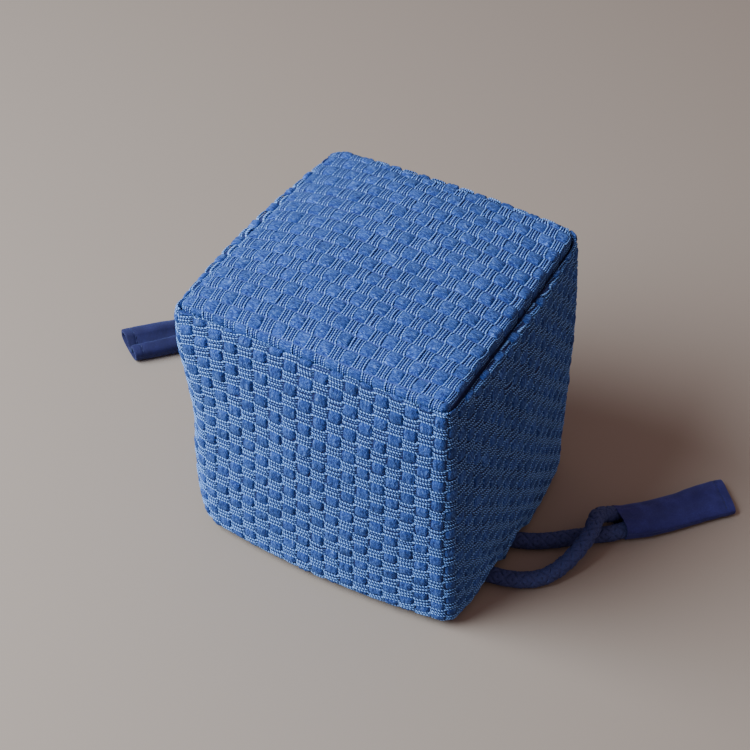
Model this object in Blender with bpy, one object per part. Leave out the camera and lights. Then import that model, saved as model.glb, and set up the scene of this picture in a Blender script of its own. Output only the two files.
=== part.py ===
"""Teaware storage bag: a padded cube-shaped drawstring bag of woven cloth.

It stands on its drawn mouth, with the square base panel up. One band of cloth
wraps the four walls. Under the rim the mouth is gathered round a drawstring
channel, and two round braided drawstrings leave the channel, one to the right
(+X) and one to the left (-X). The two ends of each drawstring are joined in a
flared cloth tab. +Z is up, the front wall faces -Y, and the origin is at the
centre of the underside of the bag body. Sizes below are in millimetres.
"""

import math

import bmesh
import bpy
import numpy as np

MM = 0.001

# ---- driving sizes --------------------------------------------------------
WIDTH, DEPTH, HEIGHT = 88.6, 92.6, 94.0  # at the seam round the base panel
WALL = 4.6  # padded wall
PANEL = 4.5  # padded base panel, at its edge
CROWN = 3.6  # rise of the base panel in its middle
SEAM_INSET = 0.9  # the wall's rolled top edge outside the seam
GAP = 0.3  # between neighbouring pieces
RIM_R = 5.7  # rounding of the lower edge of the walls
RIM_FLAT = 2.9  # flat that the rim stands on
BULGE = 0.4  # walls stand proud of the seam all round
COLLAR_Z = 8.0  # underside of the gathered mouth
COLLAR_T = 2.2  # its thickness
PLEATS = 16
MOUTH_R = 8.0  # free radius of the drawn mouth
CHANNEL_R = 16.4  # outer radius of the drawstring channel
CORD_D = 5.5
ARCH_H, ARCH_W = 6.3, 8.6  # each cord lifts the soft rim: height, half width

# corner: signs, then how far it stands from a true square at the seam, half
# way down (added) and at the bottom, then its radius in plan at the seam and
# at the bottom, and the depth where that starts to change and over how much
CORNERS = (
    (-1, -1, (-1.7, 0.0), (-2.2, 0.0), (-1.6, 2.4), 3.2, 16.6, 0.0, 53.0),
    (1, -1, (0.0, 0.0), (0.0, 0.0), (6.6, 3.3), 3.2, 6.2, 0.0, 38.0),
    (1, 1, (-1.3, 2.7), (1.1, 1.7), (7.0, -0.4), 6.6, 15.0, 10.0, 67.0),
    (-1, 1, (0.3, 1.9), (0.0, 0.0), (-0.6, 0.6), 5.6, 9.0, 0.0, 38.0),
)
# outward bow at mid wall: front, right, back, left. The first puffs out just
# under the seam, the second is added further down
PUFFS = (0.8, 1.9, 2.5, 2.8)
BOWS = (1.9, 0.2, -0.6, -1.3)
# number of columns along each straight wall (more where cords pass under)
COLUMNS = (8, 35, 8, 33)
ARC = 6  # points on each corner arc

# where a cord passes under the rim: wall (1 right, 3 left) and its y there
PASSES = ((1, -1.2), (1, -17.8), (3, 15.0), (3, 3.0))

# routes of the four cord ends, from the channel to the tab (x, y, z)
LOW = CORD_D / 2 + 0.08
ROUTES = {
    "cord_right_back": (
        (20.5, 2.5, 5.3), (24.6, 1.2, 4.9), (29.6, -0.2, 3.7), (36.0, -1.2, LOW),
        (44.0, -1.4, LOW), (52.3, 0.2, LOW), (60.3, 4.4, LOW), (66.6, 9.6, LOW),
        (72.2, 14.2, LOW), (77.2, 18.0, LOW), (79.8, 20.9, LOW),
    ),
    "cord_right_front": (
        (17.3, -9.0, 5.3), (21.6, -12.0, 4.9), (27.6, -15.2, 3.7), (35.0, -17.2, LOW),
        (44.0, -17.8, LOW), (52.7, -17.2, LOW), (59.6, -15.2, LOW), (65.6, -11.0, LOW + 0.1),
        (69.6, -4.6, 3.9), (71.8, 1.4, 5.9), (72.9, 7.2, 7.7), (73.0, 12.4, 8.8),
        (72.2, 17.0, 8.3), (72.6, 20.9, 6.6), (74.8, 24.4, 5.0),
    ),
    "cord_left_back": (
        (-13.8, 8.2, 5.3), (-18.6, 10.2, 4.9), (-25.0, 12.3, 3.7), (-33.0, 13.8, LOW),
        (-41.0, 14.6, LOW), (-47.4, 16.6, LOW), (-51.6, 21.2, LOW), (-52.8, 27.4, LOW),
        (-52.0, 33.6, LOW), (-51.5, 39.5, LOW), (-54.0, 44.9, LOW), (-58.3, 49.2, LOW),
        (-63.7, 51.7, LOW), (-69.7, 52.2, LOW), (-75.5, 50.7, 3.4), (-80.0, 47.6, 4.2),
    ),
    "cord_left_front": (
        (-15.2, -0.4, 5.3), (-19.6, 0.0, 4.9), (-26.0, 0.9, 3.7), (-34.0, 1.9, LOW),
        (-42.5, 2.8, LOW), (-50.2, 5.2, LOW), (-56.0, 11.0, LOW), (-58.8, 18.6, LOW),
        (-59.4, 26.2, LOW), (-58.3, 33.2, LOW), (-57.7, 39.2, LOW), (-60.1, 42.8, LOW),
        (-63.6, 45.3, LOW), (-67.8, 46.3, LOW), (-72.0, 45.5, 3.4), (-75.5, 43.5, 4.2),
    ),
}
CORD_POINTS = {"cord_right_back": 17, "cord_right_front": 22, "cord_left_back": 20, "cord_left_front": 20}

# tabs: middle of the near end, direction, slant of the far end, then stations
# along the length: distance, sideways shift, half width, thickness, depth of
# the lengthwise fold
TABS = {
    "tab_right": ((77.9, 23.5), 49.2, 0.15, (
        (0.0, 0.2, 6.3, 7.3, 0.0), (3.0, 0.7, 6.3, 6.9, 0.0), (9.0, 1.1, 6.6, 5.8, 0.0), (16.0, 1.0, 6.7, 5.0, 0.0),
        (23.0, 0.6, 6.8, 4.4, 0.0), (30.0, -0.1, 7.3, 4.0, 0.0), (36.5, -0.3, 7.5, 3.7, 0.0), (41.0, -0.3, 7.4, 3.4, 0.0),
    )),
    "tab_left": ((-78.5, 44.7), 226.2, -0.14, (
        (0.0, 0.0, 6.3, 7.3, 0.0), (3.0, 0.0, 6.3, 7.0, 0.5), (9.0, 0.0, 6.5, 6.6, 1.6), (16.0, 0.0, 6.9, 6.2, 2.2),
        (23.0, 0.0, 7.1, 5.8, 2.4), (30.0, 0.0, 7.3, 5.6, 2.6), (36.5, 0.0, 7.5, 5.4, 2.7), (41.5, 0.0, 7.4, 5.0, 2.6),
    )),
}


def smooth(t):
    t = min(max(t, 0.0), 1.0)
    return t * t * (3.0 - 2.0 * t)


def outline(z, inset, r_least):
    """Plan outline of the walls at height z, moved inwards by inset: a list of
    (x, y, wall, kind) run counter-clockwise from the front left corner."""
    down = max(HEIGHT - z, 0.0)
    lean = down / HEIGHT
    proud = BULGE * smooth(down / 5.0)
    centres = []
    for sx, sy, top, middle, foot, r_top, r_bottom, start, span in CORNERS:
        r = max(r_top + (r_bottom - r_top) * smooth((down - start) / span) - inset, r_least)
        dx, dy = (top[k] * (1 - lean) + middle[k] * 4 * lean * (1 - lean) + foot[k] * lean for k in (0, 1))
        x = sx * (WIDTH / 2 + proud - inset) + dx
        y = sy * (DEPTH / 2 + proud - inset) + dy
        centres.append((x - sx * r, y - sy * r, r))
    points = []
    for i in range(4):
        cx, cy, r = centres[i]
        start = math.pi + i * math.pi / 2
        for k in range(ARC):
            turn = start + (k / (ARC - 1)) * math.pi / 2
            points.append((cx + r * math.cos(turn), cy + r * math.sin(turn), i, "arc"))
        nx, ny, nr = centres[(i + 1) % 4]
        end = start + math.pi / 2
        out = (math.cos(end), math.sin(end))
        x0, y0 = cx + r * out[0], cy + r * out[1]
        x1, y1 = nx + nr * out[0], ny + nr * out[1]
        bow = PUFFS[i] * smooth(down / 3.6) + BOWS[i] * smooth(down / 30.0)
        n = COLUMNS[i]
        for k in range(1, n + 1):
            t = k / (n + 1)
            b = bow * 4 * t * (1 - t)
            points.append((x0 + (x1 - x0) * t + out[0] * b, y0 + (y1 - y0) * t + out[1] * b, i, "wall"))
    return points


def arch(x, y, wall):
    """How far the rim is lifted over a cord at this place, from 0 to 1."""
    best = 0.0
    for side, at in PASSES:
        if wall == side:
            off = abs(y - at)
            if off < ARCH_W:
                best = max(best, (0.5 + 0.5 * math.cos(math.pi * off / ARCH_W)) ** 0.6)
    return best


def object_of(name, verts, faces, material):
    mesh = bpy.data.meshes.new(name)
    bm = bmesh.new()
    made = [bm.verts.new((x * MM, y * MM, z * MM)) for x, y, z in verts]
    for face in faces:
        bm.faces.new([made[i] for i in face])
    bmesh.ops.recalc_face_normals(bm, faces=bm.faces)
    bmesh.ops.triangulate(bm, faces=[f for f in bm.faces if len(f.verts) > 4])
    bm.to_mesh(mesh)
    bm.free()
    mesh.shade_smooth()
    mesh.set_sharp_from_angle(angle=math.radians(40))
    mesh.materials.append(material)
    obj = bpy.data.objects.new(name, mesh)
    bpy.context.scene.collection.objects.link(obj)
    return obj


def tube_faces(rings, around, closed_section):
    """Quads over a grid of rings x around; closed round both ways if asked."""
    faces = []
    for i in range(rings if closed_section else rings - 1):
        for k in range(around):
            a, b = i * around + k, i * around + (k + 1) % around
            j = (i + 1) % rings
            faces.append((a, b, j * around + (k + 1) % around, j * around + k))
    return faces


def material(name, colour, roughness):
    made = bpy.data.materials.new(name)
    made.use_nodes = True
    shader = made.node_tree.nodes["Principled BSDF"]
    shader.inputs["Base Color"].default_value = (*colour, 1.0)
    shader.inputs["Roughness"].default_value = roughness
    shader.inputs["Metallic"].default_value = 0.0
    return made


def side_band():
    """One closed section, swept round the plan outline: inset, height, how
    much an arch over a cord lifts the point, and the least corner radius."""
    top = HEIGHT - 1.4
    section = [
        (9.0, 3.9, 3.7, 2.0),
        (9.3, 2.2, 4.9, 2.0),
        (9.0, 0.7, 5.9, 2.0),
        (RIM_R + RIM_FLAT, 0.0, ARCH_H, 2.0),
        (RIM_R, 0.0, ARCH_H, 2.0),
    ]
    for degrees, lift in ((32, ARCH_H - 0.2), (62, ARCH_H - 1.2), (90, 3.2)):
        t = math.radians(degrees)
        section.append((RIM_R - RIM_R * math.sin(t), RIM_R - RIM_R * math.cos(t), lift, 1.5))
    section += [(0.0, z, lift, 1.5) for z, lift in ((13.0, 0.6), (34.0, 0), (62.0, 0), (top - 2.0, 0))]
    section += [(0.25, top - 0.9, 0, 1.5), (0.8, top - 0.1, 0, 1.4), (SEAM_INSET - 0.1, top, 0, 1.2)]
    seam_side = len(section)
    section += [(SEAM_INSET, top - 0.9, 0, 1.2), (SEAM_INSET, HEIGHT - PANEL - GAP, 0, 1.2)]
    section += [(WALL, HEIGHT - PANEL - GAP, 0, 1.2)]
    section += [(WALL, z, 0, 1.2) for z in (50.0, 12.0)]
    section += [(WALL, 7.4, 0.2, 1.2), (5.5, 5.6, 1.9, 1.4), (7.2, 4.3, 3.2, 1.8)]
    verts = []
    for row, (inset, z, lift, r_least) in enumerate(section):
        plan_z = HEIGHT if row in (seam_side - 1, seam_side, seam_side + 1) else z
        for x, y, wall, kind in outline(plan_z, inset, r_least):
            up = lift * arch(x, y, wall) if kind == "wall" else 0.0
            verts.append((x, y, z + up))
    around = len(outline(0, 0, 1))
    return verts, tube_faces(len(section), around, True)


def base_panel():
    """A padded panel: rounded at its edge, crowned in the middle."""
    inset = SEAM_INSET + GAP
    bottom = HEIGHT - PANEL
    keep = 6  # every wall keeps this many columns here
    rows = [(inset + 0.8, bottom, 0.9), (inset, bottom + 0.8, 1.2), (inset, HEIGHT - 1.9, 1.2), (inset + 0.5, HEIGHT - 0.75, 1.1), (inset + 1.7, HEIGHT - 0.05, 1.0)]
    rings = []

    def thin(points):
        kept = []
        for i in range(4):
            arc = [p for p in points if p[2] == i and p[3] == "arc"]
            wall = [p for p in points if p[2] == i and p[3] == "wall"]
            kept += arc[::2] + [wall[round(k * (len(wall) - 1) / (keep - 1))] for k in range(keep)]
        return kept

    for d, z, r in rows:
        rings.append([(x, y, z) for x, y, _, _ in thin(outline(HEIGHT, d, r))])
    edge = thin(outline(HEIGHT, inset + 1.7, 1.0))
    for share in (0.86, 0.66, 0.42, 0.18):
        ring = []
        for x, y, _, _ in edge:
            px, py = x * share, y * share
            u, v = min(abs(px) / (WIDTH / 2), 1.0), min(abs(py) / (DEPTH / 2), 1.0)
            ring.append((px, py, HEIGHT - 0.05 + CROWN * (1 - u ** 4) * (1 - v ** 4) * (1 - 0.25 * (u * u + v * v))))
        rings.append(ring)
    verts = [p for ring in rings for p in ring]
    around = len(edge)
    faces = tube_faces(len(rings), around, False)
    low, high = len(verts), len(verts) + 1
    verts += [(0.0, 0.0, bottom), (0.0, 0.0, HEIGHT + CROWN)]
    last = (len(rings) - 1) * around
    for k in range(around):
        n = (k + 1) % around
        faces.append((low, n, k))
        faces.append((high, last + k, last + n))
    return verts, faces


def mouth():
    """The drawn mouth: cloth gathered in pleats from the rim to a channel
    round the small opening that is left."""
    around = PLEATS * 5
    centre = (2.6, 1.0)
    rim_points = [np.array((x, y)) for x, y, _, _ in outline(COLLAR_Z + 1, WALL + 0.42, 1.0)]

    def rim_at(turn):
        ray = np.array((math.cos(turn), math.sin(turn)))
        for a, b in zip(rim_points, rim_points[1:] + rim_points[:1]):
            a, b = a - centre, b - centre
            edge = b - a
            det = ray[0] * -edge[1] + ray[1] * edge[0]
            if abs(det) < 1e-9:
                continue
            along = (a[0] * -edge[1] + a[1] * edge[0]) / det
            share = (ray[0] * a[1] - ray[1] * a[0]) / det
            if along > 0 and -1e-6 <= share <= 1 + 1e-6:
                return along
        return MOUTH_R * 4

    # share of the way in to the channel, height of the mid surface, thickness
    inwards = ((0.0, 0.0, 1.0), (0.25, 0.4, 1.0), (0.6, 1.0, 1.0), (0.92, 1.2, 1.0))
    # the channel's section: radius, height above the collar's underside
    channel = ((15.4, 3.7), (12.0, 4.3), (9.0, 2.6), (8.0, -1.2), (9.4, -5.0), (12.2, -6.1), (15.0, -5.2), (16.3, -2.4), (16.4, 0.5))
    lower, upper = [], []
    for share, rise, thick in inwards:
        low_ring, high_ring = [], []
        for k in range(around):
            turn = 2 * math.pi * k / around
            far = rim_at(turn)
            r = far + (CHANNEL_R + 0.6 - far) * share
            ruck = 1.5 * (0.5 + 0.5 * math.cos(PLEATS * turn)) * math.sin(math.pi * min(share * 0.62 + 0.02, 1.0))
            z = COLLAR_Z + rise + ruck
            x, y = centre[0] + r * math.cos(turn), centre[1] + r * math.sin(turn)
            low_ring.append((x, y, z))
            high_ring.append((x, y, z + COLLAR_T * thick))
        lower.append(low_ring)
        upper.append(high_ring)
    ring_rows = []
    for r, up in channel:
        row = []
        for k in range(around):
            turn = 2 * math.pi * k / around
            swell = 0.35 * math.cos(PLEATS * turn)
            row.append((centre[0] + (r + (swell if r > 10 else -swell)) * math.cos(turn), centre[1] + (r + (swell if r > 10 else -swell)) * math.sin(turn), COLLAR_Z + up))
        ring_rows.append(row)
    rows = upper + ring_rows + lower[::-1]
    verts = [p for row in rows for p in row]
    return verts, tube_faces(len(rows), around, True)


def tab(near, heading, slant, stations):
    """A flared cloth tab lying flat: a soft flat section with a lengthwise
    fold, lofted along the stations."""
    turn = math.radians(heading)
    ux, uy = math.cos(turn), math.sin(turn)
    wx, wy = uy, -ux
    around = 16
    verts = []
    for s, aside, half, thick, fold in stations:
        for k in range(around):
            a = 2 * math.pi * k / around
            c, sn = math.cos(a), math.sin(a)
            t = half * math.copysign(abs(c) ** 0.75, c)
            z = thick / 2 * (1 + math.copysign(abs(sn) ** 0.6, sn))
            if sn > 0:
                z -= fold * math.exp(-((t / 1.9) ** 2))
            along = s - slant * t * (s / stations[-1][0])
            t += aside
            verts.append((near[0] + ux * along + wx * t, near[1] + uy * along + wy * t, z))
    faces = tube_faces(len(stations), around, False)
    faces.append(tuple(range(around)))
    first = (len(stations) - 1) * around
    faces.append(tuple(first + k for k in range(around))[::-1])
    return verts, faces


def smooth_route(points, count):
    """count points, evenly spaced along a natural cubic spline."""
    p = np.array(points, float)
    step = np.linalg.norm(np.diff(p, axis=0), axis=1)
    t = np.concatenate([[0.0], np.cumsum(step)])
    n = len(p)
    h = np.diff(t)
    a = np.zeros((n, n))
    b = np.zeros((n, 3))
    a[0, 0] = a[-1, -1] = 1.0
    for i in range(1, n - 1):
        a[i, i - 1], a[i, i], a[i, i + 1] = h[i - 1], 2 * (h[i - 1] + h[i]), h[i]
        b[i] = 6 * ((p[i + 1] - p[i]) / h[i] - (p[i] - p[i - 1]) / h[i - 1])
    m = np.linalg.solve(a, b)

    def at(s):
        i = int(min(max(np.searchsorted(t, s) - 1, 0), n - 2))
        u, w = t[i + 1] - s, s - t[i]
        return (
            m[i] * u ** 3 / (6 * h[i]) + m[i + 1] * w ** 3 / (6 * h[i])
            + (p[i] / h[i] - m[i] * h[i] / 6) * u + (p[i + 1] / h[i] - m[i + 1] * h[i] / 6) * w
        )

    fine = np.array([at(s) for s in np.linspace(0, t[-1], 400)])
    run = np.concatenate([[0.0], np.cumsum(np.linalg.norm(np.diff(fine, axis=0), axis=1))])
    even = np.linspace(0, run[-1], count)
    return np.stack([np.interp(even, run, fine[:, k]) for k in range(3)], axis=1)


def cord(name, points, shift, made_of):
    data = bpy.data.curves.new(name, "CURVE")
    data.dimensions = "3D"
    data.bevel_depth = CORD_D / 2 * MM
    data.bevel_resolution = 2
    data.use_fill_caps = True
    spline = data.splines.new("POLY")
    spline.points.add(len(points) - 1)
    for target, (x, y, z) in zip(spline.points, points):
        target.co = ((x + shift[0]) * MM, (y + shift[1]) * MM, z * MM, 1.0)
    data.materials.append(made_of)
    obj = bpy.data.objects.new(name, data)
    bpy.context.scene.collection.objects.link(obj)
    return obj


def main():
    for obj in list(bpy.data.objects):
        bpy.data.objects.remove(obj, do_unlink=True)
    weave = material("woven blue cloth", (0.06, 0.16, 0.42), 0.85)
    plain = material("indigo tab cloth", (0.03, 0.03, 0.14), 0.8)
    braid = material("navy braided cord", (0.015, 0.017, 0.07), 0.8)

    body = {"side_band": side_band(), "base_panel": base_panel(), "mouth_hem": mouth()}
    xyz = np.array([p for verts, _ in body.values() for p in verts])
    shift = -(xyz[:, :2].min(axis=0) + xyz[:, :2].max(axis=0)) / 2
    for name, (verts, faces) in body.items():
        object_of(name, [(x + shift[0], y + shift[1], z) for x, y, z in verts], faces, weave)
    for name, row in TABS.items():
        verts, faces = tab(*row)
        object_of(name, [(x + shift[0], y + shift[1], z) for x, y, z in verts], faces, plain)
    for name, route in ROUTES.items():
        cord(name, smooth_route(route, CORD_POINTS[name]), shift, braid)
    print("shift", shift)


main()
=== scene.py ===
"""Looks of the teaware storage bag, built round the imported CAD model.

The woven cloth is modelled as what it is: soft brushed yarns that pass over and
under groups of four thin twisted yarns, in a checkered basket weave.
Sizes are in millimetres until a mesh is made.
"""

import math

import bpy
import numpy as np
from mathutils import Matrix, Vector


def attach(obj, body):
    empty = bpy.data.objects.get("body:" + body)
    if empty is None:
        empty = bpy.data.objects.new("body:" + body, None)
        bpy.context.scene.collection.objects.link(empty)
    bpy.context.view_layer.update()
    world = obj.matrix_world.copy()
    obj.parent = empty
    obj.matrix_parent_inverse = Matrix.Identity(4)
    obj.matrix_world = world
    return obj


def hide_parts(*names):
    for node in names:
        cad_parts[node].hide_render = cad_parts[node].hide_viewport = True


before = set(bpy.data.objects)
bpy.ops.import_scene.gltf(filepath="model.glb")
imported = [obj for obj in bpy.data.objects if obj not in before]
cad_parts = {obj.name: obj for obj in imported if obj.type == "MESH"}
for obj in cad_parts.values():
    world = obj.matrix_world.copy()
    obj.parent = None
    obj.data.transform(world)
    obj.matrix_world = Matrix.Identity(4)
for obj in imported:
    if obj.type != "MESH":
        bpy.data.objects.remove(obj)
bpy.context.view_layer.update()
MM = 0.001
RNG = np.random.default_rng(7)

# ---- sizes shared with the CAD model ----------------------------------------
SHIFT = np.array([-2.31604963, -1.50441185, 0.0])
WIDTH, DEPTH, HEIGHT = 88.6, 92.6, 94.0
WALL, PANEL, CROWN = 4.6, 4.5, 3.6
SEAM_INSET, GAP = 0.9, 0.3
RIM_R, RIM_FLAT = 5.7, 2.9
BULGE = 0.4
CORNERS = (
    (-1, -1, (-1.7, 0.0), (-2.2, 0.0), (-1.6, 2.4), 3.2, 16.6, 0.0, 53.0),
    (1, -1, (0.0, 0.0), (0.0, 0.0), (6.6, 3.3), 3.2, 6.2, 0.0, 38.0),
    (1, 1, (-1.3, 2.7), (1.1, 1.7), (7.0, -0.4), 6.6, 15.0, 10.0, 67.0),
    (-1, 1, (0.3, 1.9), (0.0, 0.0), (-0.6, 0.6), 5.6, 9.0, 0.0, 38.0),
)
PUFFS = (0.8, 1.9, 2.5, 2.8)
BOWS = (1.9, 0.2, -0.6, -1.3)
ARCH_H, ARCH_W = 6.3, 8.6
PASSES = ((1, -1.2), (1, -17.8), (3, 15.0), (3, 3.0))
CORD_D = 5.5
LOW = CORD_D / 2 + 0.08
COLLAR_Z, COLLAR_T, PLEATS = 8.0, 2.2, 16
MOUTH_C = (2.6, 1.0)
CHANNEL_R = 16.4

# ---- the weave ----------------------------------------------------------------
PT = 4.986  # one check along the thin yarns
PF = 3.98  # one check along the soft yarns
PTP = 5.30  # the same along the thin yarns of the base panel
SINK = 0.75  # middle of the weave below the outer surface
# how the lattice drifts over the front wall and over the base panel, in mm
BAND_ACROSS = (((0, 0), -2.4), ((0, 1), -2.05), ((0, 2), 0.6), ((0, 3), 0.6), ((1, 0), 0.2), ((1, 1), -0.5), ((1, 2), 0.15), ((2, 0), -0.2), ((2, 1), 1.3), ((3, 0), -0.35))
BAND_DOWN = (((0, 0), 2.9), ((0, 1), 2.7), ((0, 2), -2.2), ((0, 3), -1.4), ((1, 0), 0.35), ((1, 1), -0.4), ((1, 2), -1.65), ((2, 0), 1.9), ((2, 1), -2.1), ((3, 0), -3.4))
PANEL_ACROSS = (((0, 1), -1.25), ((0, 2), -0.6), ((0, 3), -1.0), ((1, 0), -0.1), ((1, 1), -1.8), ((1, 2), -2.5), ((2, 0), 2.0), ((2, 1), 1.35), ((3, 0), -0.8))
PANEL_BACK = (((0, 1), 4.45), ((0, 2), 0.95), ((0, 3), 0.35), ((1, 0), -0.8), ((1, 1), -1.2), ((1, 2), -1.05), ((2, 0), -3.4), ((2, 1), -1.75), ((3, 0), 2.25))


def smooth(t):
    t = np.clip(t, 0.0, 1.0)
    return t * t * (3.0 - 2.0 * t)


def principled(name, colour, roughness):
    m = bpy.data.materials.new(name)
    m.use_nodes = True
    b = m.node_tree.nodes["Principled BSDF"]
    b.inputs["Base Color"].default_value = (*colour, 1.0)
    b.inputs["Roughness"].default_value = roughness
    return m, m.node_tree.nodes, m.node_tree.links, b


def noise1(x, seed):
    """Smooth value noise of a 1-D coordinate, from -1 to 1."""
    r = np.random.default_rng(seed).uniform(-1, 1, 4096)
    i = np.floor(x).astype(int)
    f = smooth(x - i)
    return r[i % 4096] * (1 - f) + r[(i + 1) % 4096] * f


def noise2(x, y, seed):
    """Smooth value noise of a 2-D coordinate, from -1 to 1."""
    r = np.random.default_rng(seed).uniform(-1, 1, (256, 256))
    i, j = np.floor(x).astype(int), np.floor(y).astype(int)
    f, g = smooth(x - i), smooth(y - j)
    a = r[i % 256, j % 256] * (1 - f) + r[(i + 1) % 256, j % 256] * f
    b = r[i % 256, (j + 1) % 256] * (1 - f) + r[(i + 1) % 256, (j + 1) % 256] * f
    return a * (1 - g) + b * g


def make_mesh(name, verts, faces, material, uv=None, rand=None, smooth_faces=True, ends=None):
    """A mesh object from arrays: verts (n, 3) in mm and in the CAD's frame
    before its shift, faces a list of (m, 3) or (m, 4) index arrays."""
    verts = (np.asarray(verts, float) + SHIFT) * MM
    mesh = bpy.data.meshes.new(name)
    sizes = np.concatenate([np.full(len(f), f.shape[1]) for f in faces])
    loops = np.concatenate([np.asarray(f).reshape(-1) for f in faces]).astype(np.int32)
    mesh.vertices.add(len(verts))
    mesh.vertices.foreach_set("co", verts.astype(np.float32).reshape(-1))
    mesh.loops.add(len(loops))
    mesh.loops.foreach_set("vertex_index", loops)
    mesh.polygons.add(len(sizes))
    starts = np.concatenate([[0], np.cumsum(sizes)[:-1]]).astype(np.int32)
    mesh.polygons.foreach_set("loop_start", starts)
    mesh.polygons.foreach_set("loop_total", sizes.astype(np.int32))
    mesh.polygons.foreach_set("use_smooth", np.full(len(sizes), smooth_faces))
    if uv is not None:
        layer = mesh.uv_layers.new(name="weave")
        layer.data.foreach_set("uv", np.asarray(uv, np.float32)[loops].reshape(-1))
    if ends is not None:
        mesh.attributes.new("ends", "FLOAT", "POINT").data.foreach_set("value", np.asarray(ends, np.float32))
    if rand is not None:
        attribute = mesh.attributes.new("own", "FLOAT", "POINT")
        attribute.data.foreach_set("value", np.asarray(rand, np.float32))
    mesh.update()
    mesh.validate()
    mesh.materials.append(material)
    obj = bpy.data.objects.new(name, mesh)
    bpy.context.scene.collection.objects.link(obj)
    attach(obj, "root")
    return obj


def grid_faces(nu, nv, base=0, wrap_u=False, flip=False):
    iu = np.arange(nu if wrap_u else nu - 1)
    iv = np.arange(nv - 1)
    a, b = np.meshgrid(iu, iv, indexing="ij")
    a2 = (a + 1) % nu
    q = np.stack([a * nv + b, a2 * nv + b, a2 * nv + b + 1, a * nv + b + 1], -1).reshape(-1, 4)
    return (q[:, ::-1] if flip else q) + base


# =============================================================================
# Camera and cords first
# =============================================================================
def make_camera():
    az, el, roll = map(math.radians, (26.3389, 42.5214, 3.0476))
    dist, tx, ty, focal = 7.0565, -0.0041, -0.4136, 1909.8086
    scale = 90.0
    back = np.array([math.sin(az) * math.cos(el), -math.cos(az) * math.cos(el), math.sin(el)])
    right = np.array([math.cos(az), math.sin(az), 0.0])
    up = np.cross(back, right)
    r2 = math.cos(roll) * right + math.sin(roll) * up
    u2 = -math.sin(roll) * right + math.cos(roll) * up
    turn = np.stack([r2, u2, back])
    place = (turn.T @ np.array([-tx, -ty, dist]) * scale + SHIFT) * MM
    data = bpy.data.cameras.new("camera")
    data.sensor_width = 36.0
    data.lens = focal * 36.0 / 750.0
    data.clip_start, data.clip_end = 0.02, 20.0
    cam = bpy.data.objects.new("camera", data)
    m = np.eye(4)
    m[:3, 0], m[:3, 1], m[:3, 2], m[:3, 3] = r2, u2, back, place
    cam.matrix_world = Matrix(m.tolist())
    bpy.context.scene.collection.objects.link(cam)
    bpy.context.scene.camera = cam


make_camera()

ROUTES = {
    "cord_right_back": (
        (20.5, 2.5, 5.3), (24.6, 1.2, 4.9), (29.6, -0.2, 3.7), (36.0, -1.2, LOW),
        (44.0, -1.4, LOW), (52.3, 0.2, LOW), (60.3, 4.4, LOW), (66.6, 9.6, LOW),
        (72.2, 14.2, LOW), (77.2, 18.0, LOW), (79.8, 20.9, LOW), (81.0, 22.3, LOW + 0.2),
    ),
    "cord_right_front": (
        (17.3, -9.0, 5.3), (21.6, -12.0, 4.9), (27.6, -15.2, 3.7), (35.0, -17.2, LOW),
        (44.0, -17.8, LOW), (52.7, -17.2, LOW), (59.6, -15.2, LOW), (65.6, -11.0, LOW + 0.1),
        (69.6, -4.6, 3.9), (71.8, 1.4, 5.9), (72.9, 7.2, 7.7), (73.0, 12.4, 8.8),
        (72.2, 17.0, 8.3), (72.6, 20.9, 6.6), (74.8, 24.4, 4.9), (75.9, 25.9, 4.2),
    ),
    "cord_left_back": (
        (-13.8, 8.2, 5.3), (-18.6, 10.2, 4.9), (-25.0, 12.3, 3.7), (-33.0, 13.8, LOW),
        (-41.0, 14.6, LOW), (-47.4, 16.6, LOW), (-51.6, 21.2, LOW), (-52.8, 27.4, LOW),
        (-52.0, 33.6, LOW), (-51.5, 39.5, LOW), (-54.0, 44.9, LOW), (-58.3, 49.2, LOW),
        (-63.7, 51.7, LOW), (-69.7, 52.2, LOW), (-75.5, 50.7, 3.4), (-80.0, 47.6, 4.0), (-81.5, 46.2, 3.9),
    ),
    "cord_left_front": (
        (-15.2, -0.4, 5.3), (-19.6, 0.0, 4.9), (-26.0, 0.9, 3.7), (-34.0, 1.9, LOW),
        (-42.5, 2.8, LOW), (-50.2, 5.2, LOW), (-56.0, 11.0, LOW), (-58.8, 18.6, LOW),
        (-59.4, 26.2, LOW), (-58.3, 33.2, LOW), (-57.7, 39.2, LOW), (-60.1, 42.8, LOW),
        (-63.6, 45.3, LOW), (-67.8, 46.3, LOW), (-72.0, 45.5, 3.4), (-75.5, 43.5, 4.0), (-77.0, 42.2, 3.9),
    ),
}


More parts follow.
